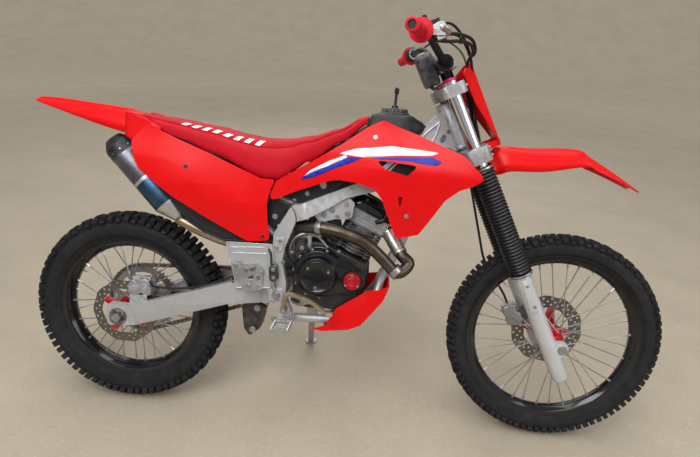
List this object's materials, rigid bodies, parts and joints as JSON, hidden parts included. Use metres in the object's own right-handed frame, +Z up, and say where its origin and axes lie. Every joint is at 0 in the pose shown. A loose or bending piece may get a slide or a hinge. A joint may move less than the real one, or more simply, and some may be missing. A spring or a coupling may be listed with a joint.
{
  "type": "dirt bike",
  "caption": "Off-road motorcycle with spoked wheels and knobby tyres, leaning on its side stand; fork steers, wheels turn and stand folds.",
  "frame": {"origin": "on the floor, under the middle of the parked bike's bounding box", "axes": "+X forward along the bike, +Y to the rider's left, which is the side it leans to, +Z up"},
  "size_m": [2.102, 0.8709, 1.3138],
  "materials": {
    "frame_metal": "cast, worn satin",
    "black_metal": "black gloss paint",
    "engine_metal": "rough casting",
    "red_metal": "red anodised",
    "black_plastic": "moulded",
    "seat_cover": "ribbed vinyl cover",
    "red_plastic": "moulded gloss",
    "pipe_steel": "heat stained",
    "silencer_steel": "brushed with heat tint",
    "axle_steel": "zinc plated",
    "chain_steel": "oiled",
    "cast_silver": "cast satin",
    "pedal_metal": "tarnished plate",
    "chrome_tube": "hard chrome",
    "gaiter_rubber": "corrugated rubber",
    "fork_metal": "silver paint",
    "grip_rubber": "red rubber",
    "tyre_rubber": "black rubber"
  },
  "bodies": {
    "chassis": {"frame_spars": "frame_metal", "pivot_plates": "frame_metal", "frame_cradle": "frame_metal", "subframe": "black_metal", "engine_cases": "engine_metal", "clutch_cover": "black_metal", "filter_cover": "red_metal", "ignition_cover": "black_metal", "cylinder": "engine_metal", "cylinder_head": "engine_metal", "head_cover": "black_metal", "airbox": "black_plastic", "fuel_tank": "black_plastic", "fuel_cap": "black_plastic", "seat": "seat_cover", "side_panels": "red_plastic", "shrouds": "red_plastic", "rear_fender": "red_plastic", "mud_flap": "black_plastic", "engine_guard": "red_plastic", "exhaust_header": "pipe_steel", "silencer": "silencer_steel", "silencer_cap": "black_metal", "swingarm": "frame_metal", "rear_axle": "axle_steel", "rear_shock": "axle_steel", "drive_chain": "chain_steel", "rear_caliper": "cast_silver", "footpegs": "cast_silver", "brake_pedal": "pedal_metal", "gear_lever": "cast_silver"},
    "steering": {"fork_clamps": "cast_silver", "fork_tubes": "chrome_tube", "fork_gaiters": "gaiter_rubber", "fork_sliders": "fork_metal", "front_axle": "axle_steel", "handlebar": "black_metal", "grips": "grip_rubber", "bar_controls": "black_metal", "front_fender": "red_plastic", "number_plate": "red_plastic", "front_caliper": "cast_silver", "brake_hose": "black_plastic"},
    "front_wheel": {"front_tyre": "tyre_rubber", "front_rim": "black_metal", "front_spokes": "axle_steel", "front_hub": "red_metal", "front_disc": "axle_steel"},
    "rear_wheel": {"rear_tyre": "tyre_rubber", "rear_rim": "black_metal", "rear_spokes": "axle_steel", "rear_hub": "red_metal", "rear_disc": "axle_steel", "rear_sprocket": "axle_steel"},
    "side_stand": {"side_stand": "cast_silver"}
  },
  "joints": [
    {"name": "steering_turn", "type": "hinge", "parent": "chassis", "child": "steering", "pos_m": [0.3428, -0.05541, 0.93435], "axis": [-0.4462, 0.1723, 0.8782], "range_deg": [-42, 42]},
    {"name": "front_wheel_spin", "type": "hinge", "parent": "steering", "child": "front_wheel", "pos_m": [0.704, -0.17133, 0.34353], "axis": [0, 0.9813, -0.1925], "continuous": true},
    {"name": "rear_wheel_spin", "type": "hinge", "parent": "chassis", "child": "rear_wheel", "pos_m": [-0.721, -0.17447, 0.32754], "axis": [0, 0.9813, -0.1925], "continuous": true},
    {"name": "side_stand_fold", "type": "hinge", "parent": "chassis", "child": "side_stand", "pos_m": [-0.111, -0.06302, 0.31383], "axis": [-0.2426, 0.822, 0.5152], "range_deg": [0, 64]}
  ]
}
